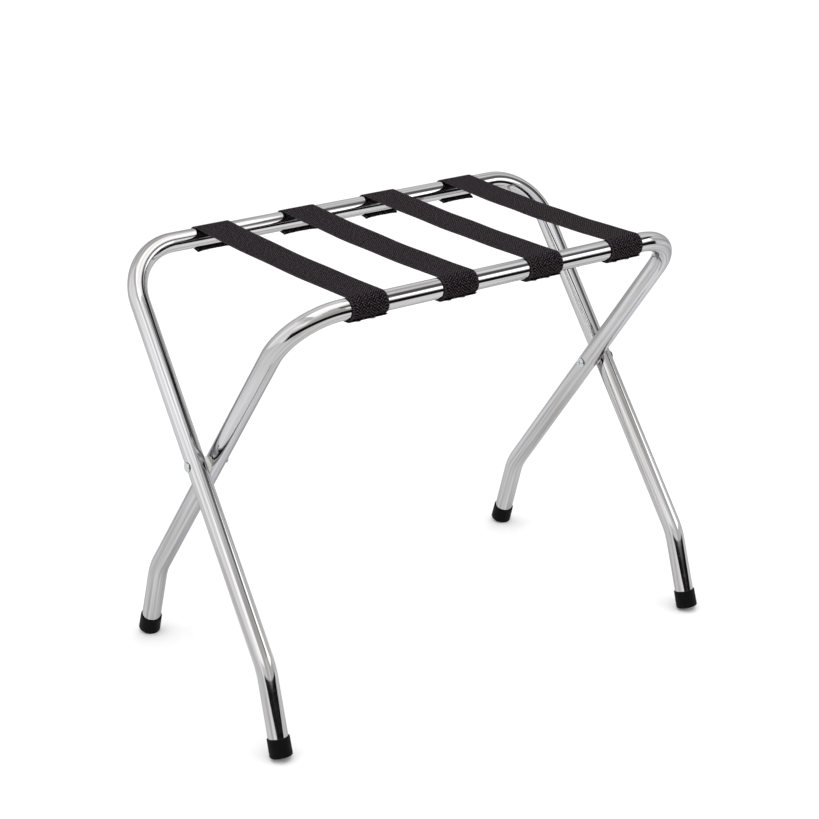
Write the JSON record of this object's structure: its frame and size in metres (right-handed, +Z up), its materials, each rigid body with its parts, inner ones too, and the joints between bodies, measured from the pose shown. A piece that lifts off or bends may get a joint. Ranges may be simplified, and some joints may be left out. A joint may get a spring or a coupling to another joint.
{
  "type": "folding luggage rack",
  "caption": "Folding luggage rack: bent tube frames crossing on a scissor pivot, flat webbing straps from rail to rail and capped feet.",
  "frame": {"origin": "on the floor under the middle of the open rack", "axes": "+X along the rails to the right, -Y to the front, +Z up"},
  "size_m": [0.6134, 0.358, 0.4929],
  "materials": {
    "chrome_tube": "polished chrome plate on steel tube",
    "webbing": "woven polypropylene webbing, near black",
    "rubber_cap": "moulded rubber, matte",
    "zinc_fastener": "bright zinc plate",
    "nylon_washer": "natural nylon"
  },
  "bodies": {
    "outer_frame": {"outer_frame_tube": "chrome_tube", "foot_cap_front_left": "rubber_cap", "foot_cap_front_right": "rubber_cap", "pivot_barrel_nut_left": "zinc_fastener", "pivot_screw_left": "zinc_fastener", "saddle_washer_outer_left": "nylon_washer", "pivot_barrel_nut_right": "zinc_fastener", "pivot_screw_right": "zinc_fastener", "saddle_washer_outer_right": "nylon_washer", "webbing_strap_1": "webbing", "strap_1_rear_screws": "zinc_fastener", "webbing_strap_2": "webbing", "strap_2_rear_screws": "zinc_fastener", "webbing_strap_3": "webbing", "strap_3_rear_screws": "zinc_fastener", "webbing_strap_4": "webbing", "strap_4_rear_screws": "zinc_fastener"},
    "inner_frame": {"inner_frame_tube": "chrome_tube", "foot_cap_rear_left": "rubber_cap", "foot_cap_rear_right": "rubber_cap", "saddle_washer_inner_left": "nylon_washer", "saddle_washer_inner_right": "nylon_washer", "strap_1_front_screws": "zinc_fastener", "strap_2_front_screws": "zinc_fastener", "strap_3_front_screws": "zinc_fastener", "strap_4_front_screws": "zinc_fastener"}
  },
  "joints": [
    {"name": "fold", "type": "hinge", "parent": "outer_frame", "child": "inner_frame", "pos_m": [0, 0, 0.2796], "axis": [-1, 0, 0], "range_deg": [0, 66], "deforming": ["webbing_strap_1", "webbing_strap_2", "webbing_strap_3", "webbing_strap_4"]}
  ]
}
